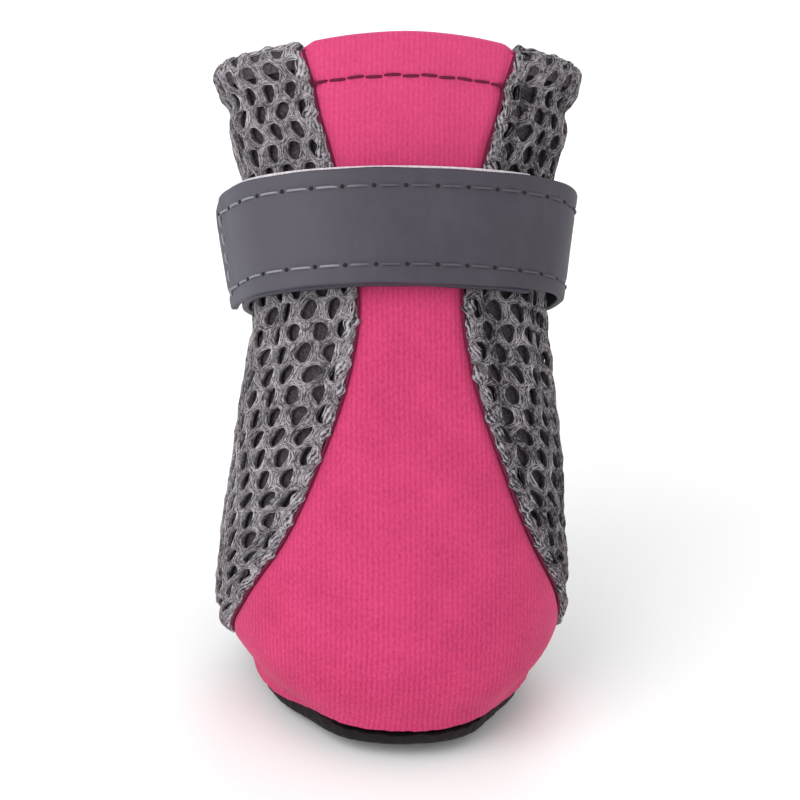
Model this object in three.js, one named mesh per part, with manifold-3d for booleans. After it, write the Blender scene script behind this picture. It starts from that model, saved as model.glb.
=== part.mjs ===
// Dog boot: a soft knit and mesh upper on a thin rubber dish sole, closed round the ankle by one strap.
// Millimetres, +Z up. The toe points along -Y, the heel along +Y, and the floor is Z = 0.
import * as THREE from "three";
import Module from "manifold-3d";
import { mergeVertices } from "three/addons/utils/BufferGeometryUtils.js";

const wasm = await Module();
wasm.setup();

// Driving dimensions. The section table below is drawn for these sizes and scales with them.
const footLength = 60;
const ballWidth = 54.4;
const bootHeight = 102.8;
const drawnFor = { footLength: 60, ballWidth: 54.4, bootHeight: 102.8 };

const wall = 2.0;
const gap = 0.3;

// Upper: one row for each section of the last, from the feather line at the sole to the collar.
// Each section is a rounded oval in the plane through its front point and its back point.
// halfWidth is its half width, widest says how far back it is widest, and square how boxy it is.
const sectionColumns = ["frontY", "frontZ", "backY", "backZ", "halfWidth", "widest", "square"];
const sections = [
  ["feather",     -29.6,   4.8,   26.2,   4.2,  22.6,  0.47,  2.02],
  ["bulge",       -31.0,  11.4,   28.6,  11.6,  25.4,  0.47,  2.06],
  ["ball",        -29.2,  20.8,   29.0,  21.0,  27.2,  0.48,  2.10],
  ["vamp",        -24.4,  32.2,   28.0,  30.6,  26.6,  0.50,  2.13],
  ["instep",      -18.0,  44.7,   26.6,  39.0,  25.0,  0.50,  2.13],
  ["ankle",       -11.2,  56.8,   25.2,  45.2,  23.3,  0.50,  2.10],
  ["strapLower",   -4.4,  68.1,   24.6,  49.6,  22.4,  0.50,  2.10],
  ["strapUpper",    4.4,  83.4,   33.2,  64.6,  23.8,  0.50,  2.10],
  ["neck",          7.4,  90.6,   36.2,  71.6,  25.8,  0.50,  2.08],
  ["hem",           9.1,  96.4,   38.7,  77.4,  27.0,  0.50,  2.04],
  ["collar",       10.6, 102.8,   40.9,  83.3,  28.6,  0.50,  1.96],
];
const strapLowerLevel = sections.findIndex(([name]) => name === "strapLower");
const collarLevel = sections.length - 1;

const pointsRound = 44;
const upperLevels = 22;

// Outsole: a thin dish whose rim meets the upper's lower edge, with shallow grip bars under it.
const soleThickness = 1.6;
const rimInset = 0.7;
const gripHeight = 0.7;
const toeSpring = 1.3;
const toeSpringStart = -12;
const heelLift = 0.5;
const heelLiftStart = 16;
const soleMiddle = -1.7;
const floorInset = 3.6;
const flatShares = [0.3, 0.65, 0.93];
const gripBar = { width: 2.4, pitch: 4.75, ahead: 4, behind: 4, reach: 0.7, sunk: 0.6 };

// Insole: a thin foam sheet lying in the dish.
const insoleThickness = 1.0;
const insoleInset = 4.2;

// Strap: one band, sewn at the back. Its inner end lies under the front, it goes round the wearer's
// ankle once by the heel, crosses over the front again and ends at the side. Angles count in degrees
// round the leg from the front, and positive is towards +X.
const strapThickness = 1.2;
const strapInnerEnd = 48;
const strapOuterEnd = -453;
const strapStep = 8;
const strapBand = { low: -0.05, high: 0.92 };
const strapStandOff = { front: 0.45, side: 0.8, back: 0.45 };
const hookTape = { thickness: 0.7, from: 42, to: -80, low: 0.02, high: 0.945 };

function material(color, roughness) {
  return new THREE.MeshStandardMaterial({ color, roughness, metalness: 0 });
}
const knitPink = material(0xd9507d, 0.85);
const rubberBlack = material(0x1e1a1d, 0.75);
const foamGrey = material(0x4a464c, 0.9);
const reflectiveGrey = material(0x5c5762, 0.55);
const tapeWhite = material(0xc9c5c9, 0.8);

// A section row as an object, scaled from the drawn sizes to the driving dimensions.
function sectionRow(level) {
  const values = sections[level].slice(1);
  const row = Object.fromEntries(sectionColumns.map((column, i) => [column, values[i]]));
  const scaleY = footLength / drawnFor.footLength;
  const scaleZ = bootHeight / drawnFor.bootHeight;
  row.frontY *= scaleY;
  row.backY *= scaleY;
  row.frontZ *= scaleZ;
  row.backZ *= scaleZ;
  row.halfWidth *= ballWidth / drawnFor.ballWidth;
  return row;
}

// The section at any level between two rows, on a smooth curve through the rows.
function sectionAt(level) {
  const below = Math.min(Math.floor(level), collarLevel - 1);
  const t = level - below;
  const first = sectionRow(below);
  const second = sectionRow(below + 1);
  const before = below > 0 ? sectionRow(below - 1) : first;
  const after = below + 2 <= collarLevel ? sectionRow(below + 2) : second;
  const blended = {};
  for (const column of sectionColumns) {
    const [a, b, c, d] = [before[column], first[column], second[column], after[column]];
    const slopeB = below > 0 ? (c - a) / 2 : c - b;
    const slopeC = below + 2 <= collarLevel ? (d - b) / 2 : c - b;
    blended[column] = b + slopeB * t + (3 * (c - b) - 2 * slopeB - slopeC) * t * t
      + (slopeB + slopeC - 2 * (c - b)) * t * t * t;
  }
  return blended;
}

// A point of a section. The angle is 0 at the front, a quarter turn at +X and a half turn at the back.
function sectionPoint(row, angle) {
  const power = 2 / row.square;
  const side = Math.sign(Math.sin(angle)) * Math.abs(Math.sin(angle)) ** power;
  const along = Math.abs(Math.cos(angle)) ** power;
  const depth = Math.cos(angle) > 0 ? row.widest * (1 - along) : row.widest + (1 - row.widest) * along;
  return new THREE.Vector3(
    row.halfWidth * side,
    THREE.MathUtils.lerp(row.frontY, row.backY, depth),
    THREE.MathUtils.lerp(row.frontZ, row.backZ, depth),
  );
}

function upperPoint(level, angle) {
  return sectionPoint(sectionAt(level), angle);
}

// The upper's outer surface moved inwards, square to itself.
function insetPoint(level, angle, inset) {
  const step = 0.02;
  const low = Math.max(level - step, 0);
  const high = Math.min(level + step, collarLevel);
  const round = upperPoint(level, angle + step).sub(upperPoint(level, angle - step));
  const up = upperPoint(high, angle).sub(upperPoint(low, angle));
  const outward = round.cross(up).normalize();
  return upperPoint(level, angle).addScaledVector(outward, -inset);
}

function loop(pointAt, count = pointsRound) {
  return Array.from({ length: count }, (_, i) => pointAt((2 * Math.PI * i) / count));
}

// Skins a row of loops that have the same number of points. The row either closes on itself
// or is closed at both ends by a fan.
function skin(loops, closesOnItself) {
  const count = loops[0].length;
  const points = loops.flat();
  const faces = [];
  const bands = closesOnItself ? loops.length : loops.length - 1;
  for (let i = 0; i < bands; i++) {
    const next = (i + 1) % loops.length;
    for (let j = 0; j < count; j++) {
      const k = (j + 1) % count;
      const [a, b] = [i * count + j, i * count + k];
      const [c, d] = [next * count + k, next * count + j];
      faces.push(a, b, c, a, c, d);
    }
  }
  if (!closesOnItself) {
    for (const [start, flip] of [[0, true], [(loops.length - 1) * count, false]]) {
      const centre = new THREE.Vector3();
      for (let j = 0; j < count; j++) centre.addScaledVector(points[start + j], 1 / count);
      const hub = points.push(centre) - 1;
      for (let j = 0; j < count; j++) {
        const [a, b] = [start + j, start + ((j + 1) % count)];
        faces.push(...(flip ? [hub, b, a] : [hub, a, b]));
      }
    }
  }
  return facingOut(points, faces);
}

function facingOut(points, faces) {
  let volume = 0;
  for (let i = 0; i < faces.length; i += 3) {
    const [a, b, c] = [points[faces[i]], points[faces[i + 1]], points[faces[i + 2]]];
    volume += a.dot(b.clone().cross(c));
  }
  const geometry = new THREE.BufferGeometry().setFromPoints(points);
  geometry.setIndex(volume > 0 ? faces : faces.slice().reverse());
  geometry.computeVertexNormals();
  return geometry;
}

function toSolid(geometry) {
  const bare = geometry.clone();
  bare.deleteAttribute("normal");
  bare.deleteAttribute("uv");
  const merged = mergeVertices(bare, 1e-4);
  return new wasm.Manifold(new wasm.Mesh({
    numProp: 3,
    vertProperties: new Float32Array(merged.attributes.position.array),
    triVerts: new Uint32Array(merged.index.array),
  }));
}

function fromSolid(solid) {
  const mesh = solid.getMesh();
  const geometry = new THREE.BufferGeometry();
  geometry.setAttribute("position", new THREE.BufferAttribute(mesh.vertProperties, 3));
  geometry.setIndex(new THREE.BufferAttribute(mesh.triVerts, 1));
  geometry.computeVertexNormals();
  return geometry;
}

// The upper is the outer surface and the inner surface, joined round the collar and the lower edge.
function upperGeometry() {
  const levels = Array.from({ length: upperLevels }, (_, i) => (collarLevel * i) / (upperLevels - 1));
  const outside = levels.map((level) => loop((angle) => upperPoint(level, angle)));
  const inside = levels.map((level) => loop((angle) => insetPoint(level, angle, wall)));
  return skin([...outside, ...inside.reverse()], true);
}

// How high the sole's underside stands over the floor: the toe springs up and the heel lifts a little.
function soleRise(y) {
  const toe = Math.max(toeSpringStart - y, 0) / 16;
  const heel = Math.max(y - heelLiftStart, 0) / 10;
  return gripHeight + toeSpring * toe * toe + heelLift * heel * heel;
}

// A loop of the dish: inside the rim's outline by an inset, drawn in towards the middle of the sole
// by a share, and part of the way up to the rim's top.
function dishLoop({ inset = 0, share = 1, climb = 0, lift = 0 }) {
  return loop((angle) => {
    const top = insetPoint(0, angle, rimInset);
    const point = insetPoint(0, angle, rimInset + inset);
    point.x *= share;
    point.y = soleMiddle + (point.y - soleMiddle) * share;
    const low = soleRise(point.y) + lift;
    point.z = low + (top.z - gap - low) * climb;
    return point;
  });
}

function dishGeometry() {
  const lift = soleThickness;
  const inside = [
    ...flatShares.map((share) => dishLoop({ inset: floorInset, share, lift })),
    dishLoop({ inset: floorInset, climb: 0.04, lift }),
    dishLoop({ inset: 2.2, climb: 0.4, lift }),
    dishLoop({ inset: soleThickness, climb: 1 }),
  ];
  const outside = [
    dishLoop({ climb: 1 }),
    dishLoop({ inset: 0.2, climb: 0.55 }),
    dishLoop({ inset: 1.0, climb: 0.2 }),
    dishLoop({ inset: 2.6, climb: 0.03 }),
    ...flatShares.toReversed().map((share) => dishLoop({ inset: floorInset, share })),
  ];
  return skin([...inside, ...outside], false);
}

// One bar of the grip pattern, a long rounded block that reaches the floor.
function gripBarGeometry(y) {
  const outline = loop((angle) => insetPoint(0, angle, rimInset), 180);
  const nearest = outline.reduce((a, b) => (Math.abs(a.y - y) < Math.abs(b.y - y) ? a : b));
  const reach = Math.abs(nearest.x) * gripBar.reach;
  const radius = gripBar.width / 2;
  const shape = new THREE.Shape();
  shape.absarc(reach - radius, 0, radius, -Math.PI / 2, Math.PI / 2);
  shape.absarc(radius - reach, 0, radius, Math.PI / 2, (3 * Math.PI) / 2);
  const depth = soleRise(y) + gripBar.sunk;
  const bar = new THREE.ExtrudeGeometry(shape, { depth, bevelEnabled: false, curveSegments: 5 });
  return bar.translate(0, y, 0);
}

function outsoleGeometry() {
  let solid = toSolid(dishGeometry());
  for (let i = -gripBar.ahead; i <= gripBar.behind; i++) {
    solid = solid.add(toSolid(gripBarGeometry(i * gripBar.pitch)));
  }
  return fromSolid(solid);
}

function insoleGeometry() {
  const under = soleThickness + gap;
  const lift = under + insoleThickness;
  return skin([
    ...flatShares.map((share) => dishLoop({ inset: insoleInset, share, lift })),
    dishLoop({ inset: insoleInset, climb: 0.04, lift }),
    dishLoop({ inset: insoleInset + 0.4, climb: 0.06, lift: under }),
    ...flatShares.toReversed().map((share) => dishLoop({ inset: insoleInset, share, lift: under })),
  ], false);
}

// The strap's path round the upper between its two strap rows, pushed out by a stand-off that is
// largest at the sides, plus a layer's own height. The heights of its edges count in those rows.
function strapPoint(across, degrees, height) {
  const angle = THREE.MathUtils.degToRad(degrees);
  const row = sectionAt(strapLowerLevel + across);
  const flank = Math.sin(angle) ** 2;
  const { front, side, back } = strapStandOff;
  const lean = Math.atan2(row.frontZ - row.backZ, row.backY - row.frontY);
  row.frontY -= (front + height) * Math.cos(lean);
  row.frontZ += (front + height) * Math.sin(lean);
  row.backY += (back + height) * Math.cos(lean);
  row.backZ -= (back + height) * Math.sin(lean);
  row.halfWidth += side + height;
  row.square += 0.25 * flank;
  return sectionPoint(row, angle);
}

// A band whose inner face lies at heightAt(degrees) over the stand-off, with squared edges.
function bandGeometry(from, to, thickness, heightAt, low, high) {
  const steps = Math.round(Math.abs(to - from) / strapStep);
  const loops = Array.from({ length: steps + 1 }, (_, i) => {
    const degrees = THREE.MathUtils.lerp(from, to, i / steps);
    const height = heightAt(degrees);
    const middle = (low + high) / 2;
    return [
      [low, height], [middle, height], [high, height],
      [high, height + thickness], [middle, height + thickness], [low, height + thickness],
    ].map(([across, out]) => strapPoint(across, degrees, out));
  });
  return skin(loops, false);
}

// The band climbs from its inner layer to its outer layer while it passes the back and the far side.
function strapHeight(degrees) {
  const outerLayer = strapThickness + hookTape.thickness + 2 * gap;
  const turned = THREE.MathUtils.clamp((-170 - degrees) / 110, 0, 1);
  return outerLayer * THREE.MathUtils.smoothstep(turned, 0, 1);
}

function strapGeometry() {
  const { low, high } = strapBand;
  return bandGeometry(strapInnerEnd, strapOuterEnd, strapThickness, strapHeight, low, high);
}

function hookTapeGeometry() {
  const { from, to, thickness, low, high } = hookTape;
  return bandGeometry(from, to, thickness, () => strapThickness + gap, low, high);
}

const boot = new THREE.Group();
function addPiece(name, geometry, finish) {
  const piece = new THREE.Mesh(geometry, finish);
  piece.name = name;
  boot.add(piece);
}

addPiece("upper", upperGeometry(), knitPink);
addPiece("outsole", outsoleGeometry(), rubberBlack);
addPiece("insole", insoleGeometry(), foamGrey);
addPiece("strap", strapGeometry(), reflectiveGrey);
addPiece("hook_tape", hookTapeGeometry(), tapeWhite);

export default boot;
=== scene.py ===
import math

import bpy
import numpy as np
from mathutils import Matrix, Vector


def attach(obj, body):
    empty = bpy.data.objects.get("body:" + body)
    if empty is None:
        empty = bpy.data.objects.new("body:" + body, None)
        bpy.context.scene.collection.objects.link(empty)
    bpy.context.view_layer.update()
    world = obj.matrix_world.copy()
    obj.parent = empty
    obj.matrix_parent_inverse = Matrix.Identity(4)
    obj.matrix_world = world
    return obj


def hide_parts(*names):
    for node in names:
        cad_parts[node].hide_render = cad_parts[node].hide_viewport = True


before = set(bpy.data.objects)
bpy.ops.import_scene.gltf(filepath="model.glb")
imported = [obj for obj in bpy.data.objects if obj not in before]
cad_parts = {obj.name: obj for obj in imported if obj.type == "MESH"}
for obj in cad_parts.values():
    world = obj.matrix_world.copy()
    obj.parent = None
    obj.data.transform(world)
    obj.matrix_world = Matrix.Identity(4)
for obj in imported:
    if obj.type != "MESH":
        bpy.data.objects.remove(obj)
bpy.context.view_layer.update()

mm = 0.001

# The last, from the sole to the collar. Each section is an oval in the plane through its front and its
# back point. panelHalf is how far the knit front reaches round from the middle of the front.
lastColumns = ("frontY", "frontZ", "backY", "backZ", "halfWidth", "widest", "square", "panelHalf")
lastRows = {
    "feather":    (-29.6,   4.8, 26.2,  4.2, 22.6, 0.47, 2.02, 41.0),
    "bulge":      (-31.0,  11.4, 28.6, 11.6, 25.4, 0.47, 2.06, 36.8),
    "ball":       (-29.2,  20.8, 29.0, 21.0, 27.2, 0.48, 2.10, 30.0),
    "vamp":       (-24.4,  32.2, 28.0, 30.6, 26.6, 0.50, 2.13, 20.8),
    "instep":     (-18.0,  44.7, 26.6, 39.0, 25.0, 0.50, 2.13, 14.2),
    "ankle":      (-11.2,  56.8, 25.2, 45.2, 23.3, 0.50, 2.10,  9.6),
    "strapLower": ( -4.4,  68.1, 24.6, 49.6, 22.4, 0.50, 2.10,  8.3),
    "strapUpper": (  4.4,  83.4, 33.2, 64.6, 23.8, 0.50, 2.10, 11.8),
    "neck":       (  7.4,  90.6, 36.2, 71.6, 25.8, 0.50, 2.08, 14.0),
    "hem":        (  9.1,  96.4, 38.7, 77.4, 27.0, 0.50, 2.04, 15.4),
    "collar":     ( 10.6, 102.8, 40.9, 83.3, 28.6, 0.50, 1.96, 17.2),
}
lastTable = np.array(list(lastRows.values()))
column = {name: i for i, name in enumerate(lastColumns)}
levelOf = {name: i for i, name in enumerate(lastRows)}
topLevel = levelOf["collar"]


def lastSection(level):
    level = np.asarray(level, float)
    below = np.clip(np.floor(level).astype(int), 0, topLevel - 1)
    t = (level - below)[..., None]
    before = lastTable[np.maximum(below - 1, 0)]
    low, high = lastTable[below], lastTable[below + 1]
    after = lastTable[np.minimum(below + 2, topLevel)]
    rise = high - low
    slopeLow = np.where((below > 0)[..., None], (high - before) / 2, rise)
    slopeHigh = np.where((below + 2 <= topLevel)[..., None], (after - low) / 2, rise)
    bend = 3 * rise - 2 * slopeLow - slopeHigh
    twist = slopeLow + slopeHigh - 2 * rise
    return low + slopeLow * t + bend * t**2 + twist * t**3


# A point of a section: turn 0 is the front, a quarter turn +X and a half turn the back
def sectionPoint(section, turn):
    frontY, frontZ, backY, backZ, halfWidth, widest, square = np.moveaxis(section[..., :7], -1, 0)
    sine, cosine = np.sin(turn), np.cos(turn)
    along = np.abs(cosine) ** (2 / square)
    depth = np.where(cosine > 0, widest * (1 - along), widest + (1 - widest) * along)
    x = halfWidth * np.sign(sine) * np.abs(sine) ** (2 / square)
    return np.stack([x, frontY + (backY - frontY) * depth, frontZ + (backZ - frontZ) * depth], -1)


def lastPoint(level, turn):
    return sectionPoint(lastSection(level), np.asarray(turn, float))


def unit(vectors):
    return vectors / np.maximum(np.linalg.norm(vectors, axis=-1, keepdims=True), 1e-12)


# Place, outward direction and upward direction on the last
def lastFrame(level, turn):
    step = 0.02
    level, turn = np.broadcast_arrays(np.asarray(level, float), np.asarray(turn, float))
    high, low = np.minimum(level + step, topLevel), np.maximum(level - step, 0)
    up = unit(lastPoint(high, turn) - lastPoint(low, turn))
    around = unit(lastPoint(level, turn + step) - lastPoint(level, turn - step))
    outward = unit(np.cross(around, up))
    return lastPoint(level, turn), outward, np.cross(outward, around)


def bilinear(table, row, col):
    row = np.clip(row, 0, table.shape[0] - 1.001)
    col = np.clip(col, 0, table.shape[1] - 1.001)
    i, j = row.astype(int), col.astype(int)
    a, b = row - i, col - j
    lower = table[i, j] * (1 - b) + table[i, j + 1] * b
    return lower * (1 - a) + (table[i + 1, j] * (1 - b) + table[i + 1, j + 1] * b) * a


# Tables that turn distances measured on the cloth into places on the last
clothMap = {"levels": 241, "shares": 161, "turns": 721, "arcTo": 84, "heightFrom": -84, "heightTo": 64, "perMm": 2}
levelSteps = np.linspace(0, topLevel, clothMap["levels"])


def measureGirths():
    turns = np.linspace(math.pi, 0, clothMap["turns"])
    shares = np.linspace(0, 1, clothMap["shares"])
    girths, turnRows = [], []
    for level in levelSteps:
        ring = lastPoint(np.full_like(turns, level), turns)
        run = np.concatenate([[0], np.cumsum(np.linalg.norm(np.diff(ring, axis=0), axis=1))])
        girths.append(run[-1])
        turnRows.append(np.interp(shares * run[-1], run, turns))
    return np.array(girths), np.array(turnRows)


halfGirths, turnTable = measureGirths()


def halfGirth(level):
    return np.interp(level, levelSteps, halfGirths)


# The turn at a distance round from the middle of the back, positive towards +X
def turnFor(level, arc):
    share = np.clip(np.abs(arc) / halfGirth(level), 0, 1)
    row = np.asarray(level) / topLevel * (clothMap["levels"] - 1)
    turn = bilinear(turnTable, row, share * (clothMap["shares"] - 1))
    return np.where(arc < 0, -turn, turn)


def measureHeights():
    heights = []
    for arc in range(clothMap["arcTo"] + 1):
        line = lastPoint(levelSteps, turnFor(levelSteps, np.full_like(levelSteps, arc)))
        run = np.concatenate([[0], np.cumsum(np.linalg.norm(np.diff(line, axis=0), axis=1))])
        heights.append(run - np.interp(levelOf["strapLower"], levelSteps, run))
    heights = np.array(heights)
    wanted = np.arange(clothMap["heightFrom"], clothMap["heightTo"], 1 / clothMap["perMm"])
    levels = np.array([np.interp(wanted, row, levelSteps) for row in heights])
    return heights, levels


heightTable, levelTable = measureHeights()


# The height of the cloth's lower edge or top edge, counted along the cloth from the strap's lower edge
def edgeHeight(arc, level):
    heights = np.array([np.interp(level, levelSteps, row) for row in heightTable])
    return np.interp(np.abs(arc), np.arange(len(heightTable)), heights)


def levelFor(arc, height):
    place = (height - clothMap["heightFrom"]) * clothMap["perMm"]
    return bilinear(levelTable, np.abs(arc), place)


def smooth(value, low, high):
    t = np.clip((value - low) / (high - low), 0, 1)
    return t * t * (3 - 2 * t)


def bell(value, middle, width):
    return np.exp(-(((value - middle) / width) ** 2))


# Soft folds, listed: level and degrees round from the front, their reach, and how far they stand
# out (in, where negative). Side folds are mirrored with a small shift, so the two sides differ.
folds = {
    "columns": ("level", "degrees", "levelReach", "degreeReach", "out"),
    "middle": (
        (0.62,   2, 0.26, 30, -0.32),
        (0.16,   0, 0.22, 34,  0.14),
        (1.70, -14, 0.80, 12,  0.22),
        (2.70,  16, 0.90, 10, -0.20),
        (4.60,   3, 0.80,  9, -0.22),
        (5.55,   0, 0.28, 13,  0.25),
        (5.62, 180, 0.20, 52, -1.10),
        (5.05, 176, 0.34, 46,  0.55),
        (4.55, 186, 0.20, 38, -0.50),
        (7.60, 180, 0.40, 40,  0.30),
        (0.10,  48, 0.62, 17, -1.15),
        (0.05, -48, 0.42, 17, -1.10),
        (2.80,  90, 0.65, 32, -1.05),
        (0.50,  90, 0.45, 30, -1.75),
        (0.42,  64, 0.34, 15, -0.85),
        (3.20, -90, 0.75, 30, -0.90),
        (1.40, -90, 0.42, 28,  1.30),
        (0.40, -90, 0.38, 28, -1.60),
    ),
    "sides": (
        (5.50,  38, 1.12,  5, -0.56),
        (5.60,  52, 0.94,  5,  0.49),
        (5.45,  66, 1.19,  5, -0.77),
        (5.55,  80, 1.00,  5,  0.63),
        (5.40,  94, 1.25,  5, -0.84),
        (5.50, 110, 1.00,  6,  0.56),
        (5.50, 126, 1.12,  6, -0.77),
        (5.45, 145, 0.80,  7,  0.35),
        (7.60,  60, 0.55,  6, -0.45),
        (7.75,  76, 0.60,  6,  0.45),
        (7.60,  92, 0.60,  7, -0.50),
        (7.70, 112, 0.60,  8,  0.40),
        (7.60, 134, 0.60,  9, -0.40),
        (3.00,  84, 0.50, 16,  0.35),
        (2.10, 118, 0.60, 14, -0.35),
        (1.10,  96, 0.35, 18,  0.30),
    ),
}
foldShift = {"degrees": 4, "level": 0.12}


def foldRelief(level, turn):
    degrees = np.degrees(turn)
    rows = list(folds["middle"])
    for at, side, reach, degreeReach, out in folds["sides"]:
        rows.append((at, side, reach, degreeReach, out))
        rows.append((at + foldShift["level"], -side + foldShift["degrees"], reach, degreeReach, out))
    total = np.zeros_like(level)
    for at, side, reach, degreeReach, out in rows:
        away = (degrees - side + 180) % 360 - 180
        total += out * bell(level, at, reach) * bell(away, 0, degreeReach)
    return total


# The turned-over hem at the collar: a trough at its stitch line and a swell above it
hem = {
    "depth": 7.0, "trough": 0.45, "meshTrough": 0.85, "swell": 0.25, "meshSwell": 0.65, "rimRadius": 1.0,
    "archDegrees": (0, 20, 38, 62, 85, 120, 180), "archDrop": (0.1, 0.6, 1.5, 1.75, 1.6, 1.5, 1.2),
}
sideRun = heightTable[60]
rimLevel = float(np.interp(sideRun[-1] - hem["rimRadius"] - 0.1, sideRun, levelSteps))


def belowTop(level):
    return sideRun[-1] - np.interp(level, levelSteps, sideRun)


def hemRelief(level, meshShare):
    below = belowTop(level)
    trough = hem["trough"] + (hem["meshTrough"] - hem["trough"]) * meshShare
    swell = hem["swell"] + (hem["meshSwell"] - hem["swell"]) * meshShare
    wide = 0.8 + 0.9 * meshShare
    return swell * smooth(-below, -hem["depth"], -hem["depth"] + 4) - trough * bell(below, hem["depth"] + 0.4, wide)


# The collar's edge is highest in front and lower at the sides. The table is smoothed over a few degrees.
archDegrees = np.arange(-220, 221)
archTable = np.interp(180 - np.abs(180 - np.abs(archDegrees)), hem["archDegrees"], hem["archDrop"])
archTable = np.convolve(archTable, np.hanning(31) / np.hanning(31).sum(), "same")


def rimDrop(level, turn):
    away = (np.degrees(turn) + 180) % 360 - 180
    return np.interp(away, archDegrees, archTable) * smooth(level, 7.2, rimLevel)


# Lays cloth on the last. over is how far it has gone over the collar's rim, lift how far it stands out.
def layOnLast(level, turn, over, lift, meshShare):
    place, outward, up = lastFrame(level, turn)
    place = place - up * rimDrop(level, turn)[:, None]
    relief = foldRelief(level, turn) + hemRelief(level, meshShare)
    radius = hem["rimRadius"]
    angle = np.clip(over / radius, 0, math.pi)[:, None]
    reach = (radius + lift)[:, None]
    rim = place + outward * (relief - radius)[:, None]
    rolled = rim + reach * (outward * np.cos(angle) + up * np.sin(angle))
    inside = np.maximum(over - math.pi * radius, 0)
    rimRun = np.interp(rimLevel, levelSteps, sideRun)
    lower = np.interp(rimRun - inside, sideRun, levelSteps)
    innerPlace, innerOut, innerUp = lastFrame(lower, turn)
    innerPlace = innerPlace - innerUp * rimDrop(lower, turn)[:, None]
    innerRelief = foldRelief(lower, turn) + hemRelief(lower, meshShare)
    turnedIn = innerPlace + innerOut * (innerRelief - 2 * radius - lift)[:, None]
    return np.where((inside > 0)[:, None], turnedIn, rolled) * mm


# A slow wander, the same each time, that keeps cells and edges from looking machined
def wanderOf(x, y, phase):
    return (np.sin(x * 0.71 + y * 0.43 + phase) + np.sin(x * 0.37 - y * 0.92 + phase * 2.3)
            + np.sin(x * 1.37 + y * 1.13 + phase * 0.7) + np.sin(y * 1.71 - x * 0.9 + phase * 3.1)) / 4


# Small tools for objects
def deselectAll():
    if bpy.context.object and bpy.context.object.mode == "EDIT":
        bpy.ops.object.mode_set(mode="OBJECT")
    bpy.ops.object.select_all(action="DESELECT")


def pick(piece):
    deselectAll()
    piece.select_set(True)
    bpy.context.view_layer.objects.active = piece


def added(name):
    piece = bpy.context.object
    piece.name = name
    piece.data.name = name
    return piece


def readPoints(piece):
    points = np.zeros(len(piece.data.vertices) * 3)
    piece.data.vertices.foreach_get("co", points)
    return points.reshape(-1, 3)


def writePoints(piece, points):
    piece.data.vertices.foreach_set("co", np.asarray(points, float).ravel())
    piece.data.update()


# A flat grid of cloth that spans the given corners, with its flat place kept as its UV map
def cutGrid(name, low, high, across, along):
    deselectAll()
    bpy.ops.mesh.primitive_grid_add(x_subdivisions=across, y_subdivisions=along, size=1)
    piece = added(name)
    points = readPoints(piece) + 0.5
    points[:, 0] = low[0] + (high[0] - low[0]) * points[:, 0]
    points[:, 1] = low[1] + (high[1] - low[1]) * points[:, 1]
    points[:, 2] = 0
    writePoints(piece, points)
    return piece


def storeUv(piece, uv):
    layer = piece.data.uv_layers[0] if piece.data.uv_layers else piece.data.uv_layers.new(name="cloth")
    corners = np.zeros(len(piece.data.loops), int)
    piece.data.loops.foreach_get("vertex_index", corners)
    layer.data.foreach_set("uv", uv[corners].ravel())


def modify(piece, kind, **settings):
    pick(piece)
    modifier = piece.modifiers.new(kind.lower(), kind)
    for name, value in settings.items():
        setattr(modifier, name, value)
    bpy.ops.object.modifier_apply(modifier=modifier.name)


def editAll(piece, *steps):
    pick(piece)
    bpy.ops.object.mode_set(mode="EDIT")
    bpy.ops.mesh.select_mode(type="VERT")
    bpy.ops.mesh.select_all(action="SELECT")
    for step in steps:
        step()
    bpy.ops.object.mode_set(mode="OBJECT")


def weld(piece, distance):
    editAll(piece, lambda: bpy.ops.mesh.remove_doubles(threshold=distance))


def faceOut(piece):
    editAll(piece, lambda: bpy.ops.mesh.normals_make_consistent(inside=False))


def flipFaces(piece):
    editAll(piece, lambda: bpy.ops.mesh.flip_normals())


def smoothShade(piece, angle=50):
    pick(piece)
    bpy.ops.object.shade_smooth_by_angle(angle=math.radians(angle))


# Width, length and area, in metres, of a cloth piece as it was cut, from its flat place
def flatCut(piece):
    corners = np.zeros(len(piece.data.loops) * 2)
    piece.data.uv_layers[0].data.foreach_get("uv", corners)
    corners = corners.reshape(-1, 4, 2) * mm
    following = np.roll(corners, -1, axis=1)
    twice = (corners[..., 0] * following[..., 1] - corners[..., 1] * following[..., 0]).sum(1)
    width, length = np.ptp(corners.reshape(-1, 2), axis=0)
    return (float(width), float(length)), float(np.abs(twice).sum() / 2)


def finishPiece(piece, material, slot, *nodes, angle=50):
    piece.data.materials.clear()
    piece.data.materials.append(material)
    smoothShade(piece, angle)
    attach(piece, "root")
    if nodes:
        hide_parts(*nodes)
    return piece


def joinPieces(pieces, name):
    deselectAll()
    for piece in pieces:
        piece.select_set(True)
    bpy.context.view_layer.objects.active = pieces[0]
    bpy.ops.object.join()
    return added(name)


# Shader maths: a Wire is a socket that takes + - * /, and each sign adds one Math node
class Wire:
    def __init__(self, finish, socket):
        self.finish = finish
        self.socket = socket

    def __add__(self, other):
        return self.finish.maths("ADD", self, other)

    def __sub__(self, other):
        return self.finish.maths("SUBTRACT", self, other)

    def __rsub__(self, other):
        return self.finish.maths("SUBTRACT", other, self)

    def __mul__(self, other):
        return self.finish.maths("MULTIPLY", self, other)

    def __truediv__(self, other):
        return self.finish.maths("DIVIDE", self, other)

    def __pow__(self, other):
        return self.finish.maths("POWER", self, other)

    __radd__ = __add__
    __rmul__ = __mul__


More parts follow.
